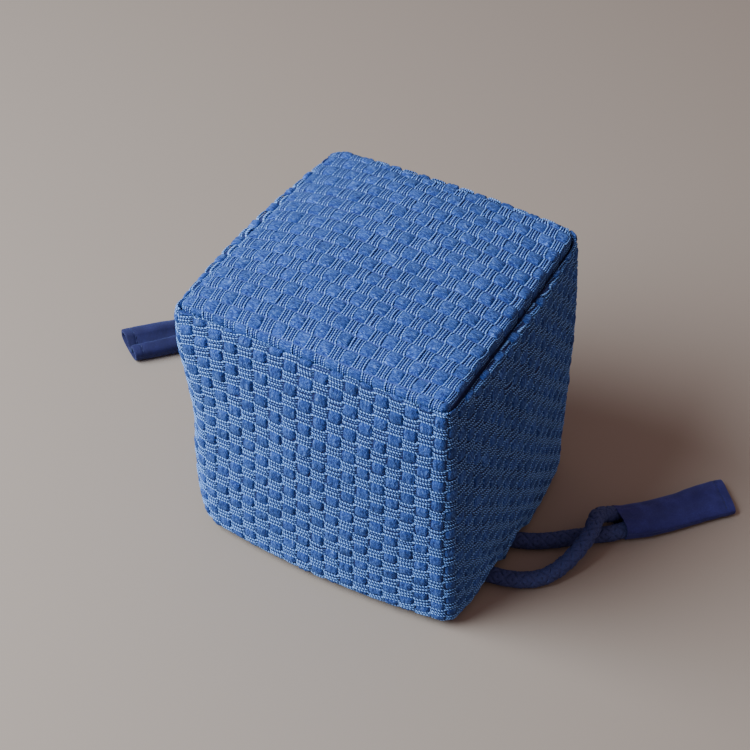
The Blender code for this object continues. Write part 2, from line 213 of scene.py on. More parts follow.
def smooth_route(points, count):
    """count points, evenly spaced along a natural cubic spline."""
    p = np.array(points, float)
    t = np.concatenate([[0.0], np.cumsum(np.linalg.norm(np.diff(p, axis=0), axis=1))])
    n, h = len(p), np.diff(t)
    a, b = np.zeros((n, n)), np.zeros((n, 3))
    a[0, 0] = a[-1, -1] = 1.0
    for i in range(1, n - 1):
        a[i, i - 1], a[i, i], a[i, i + 1] = h[i - 1], 2 * (h[i - 1] + h[i]), h[i]
        b[i] = 6 * ((p[i + 1] - p[i]) / h[i] - (p[i] - p[i - 1]) / h[i - 1])
    m = np.linalg.solve(a, b)
    s = np.linspace(0, t[-1], 800)
    i = np.clip(np.searchsorted(t, s) - 1, 0, n - 2)
    u, w, hh = (t[i + 1] - s)[:, None], (s - t[i])[:, None], h[i][:, None]
    fine = m[i] * u**3 / (6 * hh) + m[i + 1] * w**3 / (6 * hh) + (p[i] / hh - m[i] * hh / 6) * u + (p[i + 1] / hh - m[i + 1] * hh / 6) * w
    run = np.concatenate([[0.0], np.cumsum(np.linalg.norm(np.diff(fine, axis=0), axis=1))])
    even = np.linspace(0, run[-1], count)
    return np.stack([np.interp(even, run, fine[:, k]) for k in range(3)], axis=1), run[-1]


def frames_along(line):
    """Tangent, side and up vectors along a line, with the side kept level."""
    tan = np.gradient(line, axis=0)
    tan /= np.linalg.norm(tan, axis=1)[:, None]
    side = np.cross(tan, np.array([0.0, 0.0, 1.0]))
    side /= np.linalg.norm(side, axis=1)[:, None]
    up = np.cross(side, tan)
    return tan, side, up


def cord_material():
    m, nodes, links, b = principled("braided_cord_navy", (0.02, 0.022, 0.075), 0.72)
    uv = nodes.new("ShaderNodeUVMap")
    uv.uv_map = "weave"
    split = nodes.new("ShaderNodeMapping")
    split.inputs["Scale"].default_value = (5.0, 0.8, 1.0)
    links.new(uv.outputs["UV"], split.inputs["Vector"])
    n = nodes.new("ShaderNodeTexNoise")
    n.inputs["Scale"].default_value = 2.2
    n.inputs["Detail"].default_value = 5.0
    n.inputs["Roughness"].default_value = 0.65
    links.new(split.outputs["Vector"], n.inputs["Vector"])
    ramp = nodes.new("ShaderNodeValToRGB")
    ramp.color_ramp.elements[0].position = 0.3
    ramp.color_ramp.elements[0].color = (0.0145, 0.020, 0.068, 1)
    ramp.color_ramp.elements[1].position = 0.72
    ramp.color_ramp.elements[1].color = (0.062, 0.082, 0.275, 1)
    links.new(n.outputs["Fac"], ramp.inputs["Fac"])
    links.new(ramp.outputs["Color"], b.inputs["Base Color"])
    bump = nodes.new("ShaderNodeBump")
    bump.inputs["Strength"].default_value = 0.5
    bump.inputs["Distance"].default_value = 0.0002
    links.new(n.outputs["Fac"], bump.inputs["Height"])
    links.new(bump.outputs["Normal"], b.inputs["Normal"])
    b.inputs["Specular IOR Level"].default_value = 0.22
    b.inputs["Sheen Weight"].default_value = 0.10
    b.inputs["Sheen Roughness"].default_value = 0.5
    b.inputs["Sheen Tint"].default_value = (0.35, 0.5, 1.0, 1.0)
    return m


CORD_MAT = cord_material()


def braided(name, route, strands=6, lay=13.5):
    """A round braid: strands that run round the cord both ways and pass over
    and under each other, about a core. Each strand is a soft flat tube."""
    n = int(np.ceil(smooth_route(route, 50)[1] / 0.72))
    line, length = smooth_route(route, n)
    tan, side, up = frames_along(line)
    along = np.linspace(0, length, n)
    verts, faces, uvs, base = [], [], [], 0
    # core
    k = 12
    ang = 2 * np.pi * np.arange(k) / k
    core = line[:, None] + 1.95 * (side[:, None] * np.cos(ang)[None, :, None] + up[:, None] * np.sin(ang)[None, :, None])
    verts.append(core.reshape(-1, 3))
    uvs.append(np.stack([np.tile(ang, n), np.repeat(along, k)], 1))
    i = np.arange(n - 1)[:, None] * k
    j = np.arange(k)[None, :]
    q = np.stack([i + j, i + (j + 1) % k, i + k + (j + 1) % k, i + k + j], -1).reshape(-1, 4)
    faces.append(q[:, ::-1])
    faces.append(np.arange(k)[None, :])
    faces.append((np.arange(k)[::-1] + (n - 1) * k)[None, :])
    base += n * k
    sides = 7
    sec = 2 * np.pi * np.arange(sides) / sides
    for way in (1, -1):
        for s in range(strands):
            phase = 2 * np.pi * s / strands + (0 if way > 0 else np.pi / strands)
            turn = way * 2 * np.pi * along / lay + phase
            # crossings: each strand meets one of the other way at even steps
            weave = np.cos(strands * (2 * np.pi * along / lay) + (s * np.pi if strands % 2 == 0 else 0) + (0 if way > 0 else np.pi) + way * 0.0)
            r = 2.28 + 0.2 * weave
            out = side * np.cos(turn)[:, None] + up * np.sin(turn)[:, None]
            centre = line + out * r[:, None]
            d = np.gradient(centre, axis=0)
            d /= np.linalg.norm(d, axis=1)[:, None]
            flat = np.cross(d, out)
            flat /= np.linalg.norm(flat, axis=1)[:, None]
            ring = centre[:, None] + flat[:, None] * (0.86 * np.cos(sec))[None, :, None] + out[:, None] * (0.36 * np.sin(sec))[None, :, None]
            ring[..., 2] = np.maximum(ring[..., 2], 0.03)
            verts.append(ring.reshape(-1, 3))
            uvs.append(np.stack([np.tile(sec + s * 7.3, n), np.repeat(along + s * 11.0 + way * 3.0, sides)], 1))
            i = np.arange(n - 1)[:, None] * sides
            j = np.arange(sides)[None, :]
            q = np.stack([i + j, i + (j + 1) % sides, i + sides + (j + 1) % sides, i + sides + j], -1).reshape(-1, 4)
            faces.append(q + base)
            faces.append((np.arange(sides)[::-1] + base)[None, :])
            faces.append((np.arange(sides) + (n - 1) * sides + base)[None, :])
            base += n * sides
    obj = make_mesh(name, np.concatenate(verts), faces, CORD_MAT, uv=np.concatenate(uvs))
    return obj, (line + SHIFT) * MM, length * MM


CORDS = {}
for cord_name, cord_route in ROUTES.items():
    CORDS[cord_name] = braided("braid_" + cord_name[5:], cord_route)
    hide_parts(cord_name)


# =============================================================================
# Surfaces that the cloth follows
# =============================================================================
def outline_polys(z, inset, r_least, n_arc=17, n_wall=49):
    """The plan outline at height z as four walls, each a polyline from the
    middle of one corner to the middle of the next."""
    down = max(HEIGHT - z, 0.0)
    lean = down / HEIGHT
    proud = BULGE * float(smooth(down / 5.0))
    centres = []
    for sx, sy, top, middle, foot, r_top, r_bottom, start, span in CORNERS:
        r = max(r_top + (r_bottom - r_top) * float(smooth((down - start) / span)) - inset, r_least)
        dx, dy = (top[k] * (1 - lean) + middle[k] * 4 * lean * (1 - lean) + foot[k] * lean for k in (0, 1))
        x = sx * (WIDTH / 2 + proud - inset) + dx
        y = sy * (DEPTH / 2 + proud - inset) + dy
        centres.append((x - sx * r, y - sy * r, r))
    walls = []
    half = n_arc // 2 + 1
    for i in range(4):
        cx, cy, r = centres[i]
        start = math.pi + i * math.pi / 2
        t1 = start + np.linspace(0.5, 1.0, half) * math.pi / 2
        nx, ny, nr = centres[(i + 1) % 4]
        t2 = start + math.pi / 2 + np.linspace(0.0, 0.5, half) * math.pi / 2
        end = start + math.pi / 2
        out = np.array([math.cos(end), math.sin(end)])
        p0, p1 = np.array([cx, cy]) + r * out, np.array([nx, ny]) + nr * out
        bow = PUFFS[i] * float(smooth(down / 3.6)) + BOWS[i] * float(smooth(down / 30.0))
        t = np.linspace(0, 1, n_wall + 2)[1:-1, None]
        mid = p0 + (p1 - p0) * t + out * (bow * 4 * t * (1 - t))
        a = np.stack([cx + r * np.cos(t1), cy + r * np.sin(t1)], 1)
        b = np.stack([nx + nr * np.cos(t2), ny + nr * np.sin(t2)], 1)
        walls.append(np.concatenate([a, mid, b]))
    return walls


def arch_at(y, wall):
    best = np.zeros_like(y)
    for side, at in PASSES:
        if wall == side:
            off = np.abs(y - at)
            best = np.maximum(best, np.where(off < ARCH_W, np.clip(0.5 + 0.5 * np.cos(np.pi * np.minimum(off, ARCH_W) / ARCH_W), 0, 1) ** 0.6, 0))
    return best


PER_WALL = 150


def ring_at(inset, z, plan_z, lift, r_least=1.2):
    """Points round the outline, starting at the back left corner: left wall,
    front, right, back."""
    polys = outline_polys(plan_z, inset, r_least)
    rows = []
    for wall in (3, 0, 1, 2):
        p = polys[wall]
        run = np.concatenate([[0], np.cumsum(np.linalg.norm(np.diff(p, axis=0), axis=1))])
        s = np.linspace(0, run[-1], PER_WALL + 1)[:-1]
        x, y = np.interp(s, run, p[:, 0]), np.interp(s, run, p[:, 1])
        up = lift * arch_at(y, wall) if lift else np.zeros_like(x)
        rows.append(np.stack([x, y, z + up], 1))
    return np.concatenate(rows)


class Surface:
    """A grid of points with normals, read by bilinear interpolation."""

    def __init__(self, points, wrap):
        self.p, self.wrap = points, wrap
        if wrap:
            du = np.roll(points, -1, 0) - np.roll(points, 1, 0)
        else:
            du = np.gradient(points, axis=0)
        dv = np.gradient(points, axis=1)
        n = np.cross(dv, du)
        n /= np.maximum(np.linalg.norm(n, axis=-1), 1e-12)[..., None]
        self.n = n

    def at(self, i, j):
        nu, nv = self.p.shape[:2]
        if self.wrap:
            i = np.mod(i, nu)
        else:
            i = np.clip(i, 0, nu - 1.001)
        j = np.clip(j, 0, nv - 1.001)
        i0, j0 = np.floor(i).astype(int), np.floor(j).astype(int)
        f, g = (i - i0)[..., None], (j - j0)[..., None]
        i1, j1 = (i0 + 1) % nu, j0 + 1

        def mix(a):
            return (a[i0, j0] * (1 - f) + a[i1, j0] * f) * (1 - g) + (a[i0, j1] * (1 - f) + a[i1, j1] * f) * g

        n = mix(self.n)
        n /= np.maximum(np.linalg.norm(n, axis=-1), 1e-12)[..., None]
        return mix(self.p), n


# ---- the band: profile from the seam groove, down the wall, round the rim ------
def band_profile():
    """(inset, z, plan z, lift) along the cloth, and its length v. v equals the
    depth below the seam on the wall."""
    top = HEIGHT - 1.4
    pts = [(1.5, top - 4.4, HEIGHT, 0.0), (1.3, top - 2.6, HEIGHT, 0.0), (1.15, top - 1.3, HEIGHT, 0.0)]
    for k in range(7):  # rolled edge
        t = k / 6 * math.pi / 2
        pts.append((1.05 - 0.95 * math.sin(t) * 0.9, top - 1.3 + 1.15 * math.cos(t) * 0.0 + 1.15 * math.sin(math.pi * (k + 1) / 9), HEIGHT - 2.6 * (k / 6), 0.0))
    z = top - 2.0
    for zz in np.concatenate([np.arange(z, 16.0, -1.5), [16.0, 14.0]]):
        pts.append((0.0, zz, zz, 0.0))
    pts += [(0.0, 12.0, 12.0, 0.8), (0.0, 9.5, 9.5, 1.9)]
    for deg, lift in ((90, 3.2), (75, 4.3), (62, 5.1), (47, 5.7), (32, 6.1), (16, 6.2), (0, 6.3)):
        t = math.radians(deg)
        pts.append((RIM_R - RIM_R * math.sin(t), RIM_R - RIM_R * math.cos(t), RIM_R - RIM_R * math.cos(t), lift))
    pts += [(RIM_R + 1.4, 0.0, 0.0, 6.3), (RIM_R + RIM_FLAT, 0.0, 0.0, 6.3), (9.15, 0.9, 0.9, 5.7), (9.3, 2.2, 2.2, 4.9), (8.9, 3.7, 3.7, 3.8), (7.2, 4.6, 4.6, 3.0)]
    pts = np.array(pts)
    run = np.concatenate([[0], np.cumsum(np.linalg.norm(np.diff(pts[:, :2], axis=0), axis=1))])
    anchor = np.interp(-40.0, -pts[:, 1][::1][10:50], run[10:50])
    return pts, run - anchor + (HEIGHT - 40.0)


def seam_share(inside):
    """The weave is pressed thin where it is drawn into the seam."""
    return 0.42 + 0.58 * smooth(inside / 2.6)


PROFILE, PROFILE_V = band_profile()
V0, V1, DV = PROFILE_V[0], PROFILE_V[-1], 0.5
V_ROWS = np.arange(V0, V1, DV)


def build_band():
    rows = []
    for v in V_ROWS:
        inset, z, plan, lift = (float(np.interp(v, PROFILE_V, PROFILE[:, k])) for k in range(4))
        rows.append(ring_at(inset, z, plan, lift))
    p = np.stack(rows, 1)
    # the cloth is soft: slow, shallow undulation, none at the seam and rim
    i = np.arange(p.shape[0])[:, None] / p.shape[0]
    soft = noise2(i * 22 + 3.0, V_ROWS[None, :] / 17.0 + 9, 3) * 0.35 + noise2(i * 60, V_ROWS[None, :] / 7.0, 4) * 0.14
    # keep it periodic round the bag
    fade = smooth(np.minimum(i, 1 - i) * 30)
    soft = soft * fade * smooth((V_ROWS[None, :] - 2) / 8) * smooth((88 - V_ROWS[None, :]) / 10)
    # along the right wall the lip is drawn down under the edge of the panel
    wall = np.arange(p.shape[0])[:, None] / PER_WALL - 2.0
    drawn = smooth(wall / 0.08) * smooth((1 - wall) / 0.08) * np.clip((6.5 - V_ROWS[None, :]) / 5.1, 0, 1)
    p[..., 2] -= 1.9 * drawn
    s = Surface(p, True)
    s = Surface(s.p + s.n * (soft - SINK * seam_share(V_ROWS[None, :] + 0.2))[..., None], True)
    return s


BAND = build_band()
# column numbers at the corners: back left, front left, front, right, back left
COLS = np.array([-30.72, -11.87, 6.18, 25.03, 42.62])


def corner_columns(v):
    """The same at depth v: two of the corners bulge, and take up more cloth."""
    lean = np.clip(v / HEIGHT, 0, 1)
    swell = []
    for corner, axis, sign, was in ((0, 0, -1, (2.4, 14.1)), (2, 1, 1, (3.4, 9.1))):
        _, _, top, middle, _, r_top, r_bottom, start, span = CORNERS[corner]
        out = sign * (top[axis] * (1 - lean) + middle[axis] * 4 * lean * (1 - lean))
        round_by = was[0] + was[1] * smooth(v / 38.0) - r_top - (r_bottom - r_top) * smooth((v - start) / span)
        swell.append((out + 0.2146 * round_by) / 5.0)
    return COLS[0] + 0 * lean, COLS[1] - swell[0], COLS[2] + 0 * lean, COLS[3] + swell[1], COLS[4] + 0 * lean


def band_at(col, v):
    c = corner_columns(v)
    w = (col - c[0]) / (c[1] - c[0])
    for k in (1, 2, 3):
        w = np.where(col > c[k], k + (col - c[k]) / (c[k + 1] - c[k]), w)
    return BAND.at(w * PER_WALL, (v - V0) / DV)


# ---- the base panel --------------------------------------------------------------
EDGE = 2.0
HX, HY = WIDTH / 2 - SEAM_INSET - GAP, DEPTH / 2 - SEAM_INSET - GAP
STEP = 0.5


def build_panel():
    g = np.arange(-50, 50 + STEP / 2, STEP)
    x, y = np.meshgrid(g, g, indexing="ij")
    # corners: rounder at the back ones
    rad = np.where(x > 0, np.where(y > 0, 3.5, 0.4), np.where(y > 0, 2.4, 0.4))
    bx, by = HX - EDGE - rad, HY - EDGE - rad
    dx, dy = np.maximum(np.abs(x) - bx, 0), np.maximum(np.abs(y) - by, 0)
    d = np.hypot(dx, dy)
    nx, ny = np.sign(x) * dx / np.maximum(d, 1e-9), np.sign(y) * dy / np.maximum(d, 1e-9)
    over = np.maximum(d - rad, 0.0)
    qx, qy = x - nx * over, y - ny * over
    phi = np.minimum(over / EDGE, math.pi / 2)
    rest = np.maximum(over - EDGE * math.pi / 2, 0)
    u, v = np.clip(qx / HX, -1, 1), np.clip(qy / HY, -1, 1)
    crown = CROWN * (1 - u**4) * (1 - v**4) * (1 - 0.22 * (u * u + v * v))
    crown = crown + (noise2(x / 16 + 40, y / 16 + 40, 5) * 0.35 + noise2(x / 6 + 40, y / 6 + 40, 6) * 0.12) * smooth((HX - np.abs(x)) / 8) * smooth((HY - np.abs(y)) / 8)
    z = HEIGHT - 0.1 + crown - EDGE * (1 - np.cos(phi)) - rest
    px, py = qx + nx * EDGE * np.sin(phi), qy + ny * EDGE * np.sin(phi)
    dx, dy = drawn_out(px, py)
    p = np.stack([px + dx, py + dy, z], -1)
    s = Surface(p, False)
    if s.n[100, 100, 2] < 0:
        s.n = -s.n
    s.p = s.p - s.n * (SINK * seam_share(0.6 - np.maximum(np.abs(x) - HX, np.abs(y) - HY)))[..., None]
    return s


def drawn_out(x, y):
    """How far the panel's corners, pulled out of square, move this place."""
    u, v = np.clip(x / (WIDTH / 2), -1.1, 1.1), np.clip(y / (DEPTH / 2), -1.1, 1.1)
    share = [(1 + c[0] * u) * (1 + c[1] * v) / 4 for c in CORNERS]
    return tuple(sum(w * c[2][k] for w, c in zip(share, CORNERS)) for k in (0, 1))


PANEL_S = build_panel()


def panel_at(x, y):
    dx, dy = drawn_out(x, y)
    dx, dy = drawn_out(x - dx, y - dy)
    return PANEL_S.at((x - dx + 50) / STEP, (y - dy + 50) / STEP)


# =============================================================================
# Weave elements
# =============================================================================
NT = 10  # grid across a tuft


def tufts(cells, place, size, name, material, puff=1.42, square=0.0):
    """cells: (n, 2) lattice places; place(cell, across mm, along mm) gives
    surface points and normals; size: half width and half length. One puffed
    float of soft brushed yarn at each."""
    n = len(cells)
    a, b = np.meshgrid(np.linspace(-1, 1, NT + 1), np.linspace(-1, 1, NT + 1), indexing="ij")
    a, b = a.ravel(), b.ravel()
    # spread the grid to a rounded square
    ra = a * np.sqrt(1 - (0.36 - square) * b**2)
    rb = b * np.sqrt(1 - (0.38 - square) * a**2)
    grow = 1 + RNG.normal(0, 0.035, (n, 2))
    wide, long = size[0] * grow[:, :1], size[1] * grow[:, 1:]
    twist = RNG.normal(0, 0.05, (n, 1))
    taper = RNG.normal(0, 0.05, (n, 1))
    rough = RNG.normal(0, 0.045, (2, n, (NT + 1) ** 2))
    across = wide * ra * (1 + taper * b) + twist * long * rb + RNG.normal(0, 0.09, (n, 1)) + rough[0]
    along = long * rb - twist * wide * ra + RNG.normal(0, 0.12, (n, 1)) + rough[1] * 1.6
    dome = (1 - np.abs(a) ** 3.8) ** 0.5 * (1 - np.abs(b) ** 3.6) ** 0.5
    high = puff * (1 + RNG.normal(0, 0.07, (n, 1)))
    lean = RNG.normal(0, 0.10, (n, 1)) * a + RNG.normal(0, 0.08, (n, 1)) * b
    # strands: ridges along the yarn, and small lumps
    strand = RNG.normal(0, 0.085, (n, NT + 1))
    ridge = np.repeat(strand, NT + 1, axis=1)
    lump = RNG.normal(0, 0.055, (n, (NT + 1) ** 2))
    h = -0.60 + (high + lean + ridge + lump) * dome
    p, nrm = place(cells, across, along)
    v = p + nrm * h[..., None]
    v[..., 2] = np.maximum(v[..., 2], 0.02)
    per = (NT + 1) ** 2
    quads = grid_faces(NT + 1, NT + 1)
    idx = np.arange(per).reshape(NT + 1, NT + 1)
    ringi = np.concatenate([idx[0, :-1], idx[:-1, -1], idx[-1, :0:-1], idx[:0:-1, 0]])
    # check which way the quads face
    t = v[n // 2][quads[len(quads) // 2]]
    face_n = np.cross(t[1] - t[0], t[2] - t[0])
    flip = np.dot(face_n, nrm[n // 2][per // 2]) < 0
    off = (np.arange(n) * per)[:, None, None]
    q = (quads[:, ::-1] if flip else quads)[None] + off
    bottom = (ringi if not flip else ringi[::-1])[None, None] + off
    uv = np.stack([across + RNG.uniform(0, 900, (n, 1)), along + RNG.uniform(0, 900, (n, 1))], -1).reshape(-1, 2)
    own = np.repeat(RNG.uniform(0, 1, n), per)
    return make_mesh(name, v.reshape(-1, 3), [q.reshape(-1, 4), bottom.reshape(-1, len(ringi))], material, uv=uv, rand=own)


NY, SY = 8, 5  # steps along a thin yarn, sides of it


def floats(cells, place, size, name, material, frame_it=True):
    """Five thin yarns, bright and faint by turns, that arch over the soft yarn
    at each cell. size: half length of the arch and half width of the group."""
    n = len(cells)
    t = np.linspace(-1, 1, NY + 1)
    ang = 2 * np.pi * (np.arange(SY) + 0.25) / SY
    verts, uvs, owns, ends = [], [], [], []
    for k in range(5):
        faint = k % 2 == 1
        lane = (k - 2) / 2 * size[1]
        outer = frame_it and abs(k - 2) == 2
        half = (size[0] + (0.12 if outer else 0.0)) * (1 + RNG.normal(0, 0.015, (n, 1)))
        run = half * t  # along the thin yarn
        flare = 1 + 0.30 * np.abs(t) ** (3.6 if outer else 5)
        side = lane * flare + RNG.normal(0, 0.05, (n, 1)) + 0.06 * RNG.normal(0, 1, (n, 1)) * t + 0.05 * RNG.normal(0, 1, (n, 1)) * (1 - 2 * t * t)
        arch = np.clip(np.cos(np.pi / 2 * np.abs(t) ** (4.2 if outer else 2.6)), 0, 1) ** 0.8
        arch = np.maximum(arch, 0.34) if outer else arch
        crest = (0.92 if faint else 1.04) - 0.03 * abs(k - 2) ** 1.6
        h = -0.62 + (crest + RNG.normal(0, 0.06, (n, 1))) * arch
        r = 0.185 if faint else 0.24
        s_off = side[..., None] + r * np.cos(ang)
        h_off = h[..., None] + r * np.sin(ang)
        across = np.broadcast_to(run[..., None], s_off.shape)
        shape = s_off.shape
        p, nrm = place(cells, across.reshape(n, -1), s_off.reshape(n, -1))
        v = p + nrm * h_off.reshape(n, -1)[..., None]
        v[..., 2] = np.maximum(v[..., 2], 0.02)
        verts.append(v)
        start = RNG.uniform(0, 50, (n, 1, 1))
        uvs.append(np.stack([across + start, np.broadcast_to(ang / (2 * np.pi), shape)], -1).reshape(n, -1, 2))
        # ends: a mask over the two ends of each thin yarn, where it dips beside the tufts. The shader paints these
        # ends lighter: partly the yarn's white strand, partly painted light in the shade of the tufts.
        tip = smooth((np.abs(t) - 0.58) / 0.25)[None, :, None] * (1 + RNG.normal(0, 0.2, (n, 1, 1)))
        ends.append(np.broadcast_to(tip, shape).reshape(n, -1))
        owns.append(np.repeat(RNG.uniform(0, 1, (n, 1)) + (2.0 if faint else 0.0), v.shape[1], axis=1))
    per = (NY + 1) * SY
    i, j = np.meshgrid(np.arange(NY), np.arange(SY), indexing="ij")
    q = np.stack([i * SY + j, i * SY + (j + 1) % SY, (i + 1) * SY + (j + 1) % SY, (i + 1) * SY + j], -1).reshape(-1, 4)
    cap0, cap1 = np.arange(SY)[::-1], np.arange(SY) + NY * SY
    v = np.stack(verts, 1)  # n, 5, per, 3
    # outward test on one yarn
    t0 = v[n // 2, 2]
    mid = t0[(NY // 2) * SY:(NY // 2) * SY + SY].mean(0)
    f = q[(NY // 2) * SY]
    fn = np.cross(t0[f[1]] - t0[f[0]], t0[f[2]] - t0[f[0]])
    if np.dot(fn, t0[f].mean(0) - mid) < 0:
        q, cap0, cap1 = q[:, ::-1], cap0[::-1], cap1[::-1]
    off = (np.arange(n * 5) * per)[:, None, None]
    faces = [(q[None] + off).reshape(-1, 4), (cap0[None, None] + off).reshape(-1, SY), (cap1[None, None] + off).reshape(-1, SY)]
    return make_mesh(name, v.reshape(-1, 3), faces, material, uv=np.stack(uvs, 1).reshape(-1, 2), rand=np.stack(owns, 1).reshape(-1), ends=np.stack(ends, 1).reshape(-1))


class Shader:
    """Short hands for building a node tree."""

    def __init__(self, name, roughness):
        self.m, self.nodes, self.links, self.b = principled(name, (0.5, 0.5, 0.5), roughness)

    def node(self, kind, inputs=(), **props):
        n = self.nodes.new(kind)
        for k, v in props.items():
            setattr(n, k, v)
        for k, v in inputs:
            if isinstance(v, bpy.types.NodeSocket):
                self.links.new(v, n.inputs[k])
            else:
                n.inputs[k].default_value = v
        return n

    def math(self, op, *args):
        return self.node("ShaderNodeMath", [(i, a) for i, a in enumerate(args)], operation=op).outputs[0]

    def uv(self):
        return self.node("ShaderNodeUVMap", uv_map="weave").outputs["UV"]

    def own(self):
        return self.node("ShaderNodeAttribute", attribute_name="own").outputs["Fac"]

    def scaled(self, vector, scale):
        return self.node("ShaderNodeMapping", [("Vector", vector), ("Scale", scale)]).outputs[0]

    def noise(self, vector, scale, detail=4.0, rough=0.6, distortion=0.0):
        return self.node("ShaderNodeTexNoise", [("Vector", vector), ("Scale", scale), ("Detail", detail), ("Roughness", rough), ("Distortion", distortion)]).outputs["Fac"]

    def ramp(self, fac, stops):
        n = self.node("ShaderNodeValToRGB", [("Fac", fac)])
        e = n.color_ramp.elements
        while len(e) > 1:
            e.remove(e[-1])
        e[0].position, e[0].color = stops[0][0], (*stops[0][1], 1)
        for pos, colour in stops[1:]:
            e.new(pos).color = (*colour, 1)
        return n.outputs["Color"]

    def mix(self, fac, a, b, blend="MIX"):
        n = self.node("ShaderNodeMix", [(0, fac), (6, a), (7, b)], data_type="RGBA", blend_type=blend)
        return n.outputs[2]

    def bump(self, height, distance, strength=1.0, normal=None):
        n = self.node("ShaderNodeBump", [("Height", height), ("Distance", distance), ("Strength", strength)])
        if normal:
            self.links.new(normal, n.inputs["Normal"])
        return n.outputs["Normal"]

    def finish(self, colour=None, normal=None, **inputs):
        if colour is not None:
            self.links.new(colour, self.b.inputs["Base Color"])
        if normal is not None:
            self.links.new(normal, self.b.inputs["Normal"])
        for k, v in inputs.items():
            self.b.inputs[k.replace("_", " ")].default_value = v
        return self.m


def tuft_material():
    s = Shader("soft_blue_yarn", 0.92)
    uv = s.uv()
    fibre = s.noise(s.scaled(uv, (1.75, 0.55, 1.0)), 1.0, 5.0, 0.62, 1.6)
    fine = s.noise(s.scaled(uv, (5.0, 1.2, 1.0)), 1.0, 3.0, 0.55, 0.5)
    both = s.math("ADD", s.math("MULTIPLY", fibre, 0.68), s.math("MULTIPLY", fine, 0.32))
    colour = s.ramp(both, [(0.41, (0.0135, 0.0205, 0.123)), (0.47, (0.022, 0.051, 0.25)), (0.53, (0.0355, 0.091, 0.37)), (0.60, (0.125, 0.235, 0.64))])
    own = s.own()
    tone = s.node("ShaderNodeMapRange", [("Value", own), ("To Min", 0.80), ("To Max", 1.18)]).outputs[0]
    grey = s.node("ShaderNodeCombineColor", [(0, tone), (1, tone), (2, tone)]).outputs[0]
    colour = s.mix(1.0, colour, grey, "MULTIPLY")
    normal = s.bump(both, 0.0007, 1.0)
    return s.finish(colour, normal, Sheen_Weight=0.20, Sheen_Roughness=0.5, Sheen_Tint=(0.30, 0.55, 1.0, 1.0), Specular_IOR_Level=0.12)


def thin_material(name, period, low, faint_low, faint_mid):
    """Thin yarn of a navy and a white strand twisted together. In a block
    every other yarn shows less of the white."""
    s = Shader(name, 0.75)
    uv = s.uv()
    split = s.node("ShaderNodeSeparateXYZ", [(0, uv)])
    turns = s.math("ADD", s.math("MULTIPLY", split.outputs["X"], 1 / period), split.outputs["Y"])
    wave = s.math("SINE", s.math("MULTIPLY", turns, 2 * math.pi))
    rough = s.noise(s.scaled(uv, (2.2, 2.0, 1.0)), 1.0, 2.0, 0.5)
    total = s.math("ADD", wave, s.math("MULTIPLY_ADD", rough, 1.7, -0.85))
    fac = s.node("ShaderNodeMapRange", [("Value", total), ("From Min", -1.0), ("From Max", 1.0)]).outputs[0]
    bright = s.ramp(fac, [(0.20, low), (0.37, (0.072, 0.145, 0.49)), (0.53, (0.24, 0.46, 1.0))])
    faint = s.ramp(fac, [(0.40, faint_low), (0.64, faint_mid), (0.88, (0.15, 0.30, 0.82))])
    is_faint = s.math("GREATER_THAN", s.own(), 1.5)
    colour = s.mix(is_faint, bright, faint)
    # Painted light, partly the white strand: towards the yarn's ends, which the tufts' shoulders shade, the white of
    # the twist is mixed up to a bright blue-white.
    tip = s.node("ShaderNodeAttribute", attribute_name="ends").outputs["Fac"]
    tip = s.math("MULTIPLY", tip, s.node("ShaderNodeMapRange", [("Value", fac), ("From Min", 0.25), ("From Max", 0.55), ("To Min", 0.2), ("To Max", 0.75)]).outputs[0])
    colour = s.mix(tip, colour, (0.23, 0.45, 1.0, 1.0))
    normal = s.bump(wave, 0.00012, 0.8)
    return s.finish(colour, normal, Specular_IOR_Level=0.12, Sheen_Weight=0.3, Sheen_Roughness=0.6, Sheen_Tint=(0.20, 0.45, 1.0, 1.0))


def ground_material(name, low, high):
    m, nodes, links, b = principled(name, (0.012, 0.02, 0.075), 0.9)
    co = nodes.new("ShaderNodeTexCoord")
    n = nodes.new("ShaderNodeTexNoise")
    n.inputs["Scale"].default_value = 1400.0
    n.inputs["Detail"].default_value = 3.0
    links.new(co.outputs["Object"], n.inputs["Vector"])
    ramp = nodes.new("ShaderNodeValToRGB")
    e = ramp.color_ramp.elements
    e[0].position, e[0].color = 0.35, (*low, 1)
    e[1].position, e[1].color = 0.75, (*high, 1)
    links.new(n.outputs["Fac"], ramp.inputs["Fac"])
    links.new(ramp.outputs["Color"], b.inputs["Base Color"])
    bump = nodes.new("ShaderNodeBump")
    bump.inputs["Distance"].default_value = 0.0002
    links.new(n.outputs["Fac"], bump.inputs["Height"])
    links.new(bump.outputs["Normal"], b.inputs["Normal"])
    return m


TUFT = tuft_material()
GROUND = ground_material("deep_navy_ground", (0.0095, 0.018, 0.105), (0.026, 0.045, 0.19))
GROUND_TOP = ground_material("navy_ground_panel", (0.019, 0.0385, 0.20), (0.048, 0.085, 0.32))
THIN = thin_material("thin_twisted_yarn", 0.94, (0.0125, 0.020, 0.11), (0.0105, 0.016, 0.092), (0.032, 0.056, 0.25))
THIN_TOP = thin_material("thin_twisted_yarn_panel", 0.90, (0.045, 0.082, 0.33), (0.038, 0.068, 0.29), (0.064, 0.115, 0.44))


# ---- band weave -------------------------------------------------------------------
def wander(a, b, seed):
    return noise2(a / 6.3 + 50, b / 6.3 + 50, seed)


def cubic(p, q, terms):
    return sum(k * p**m * q**n for (m, n), k in terms)


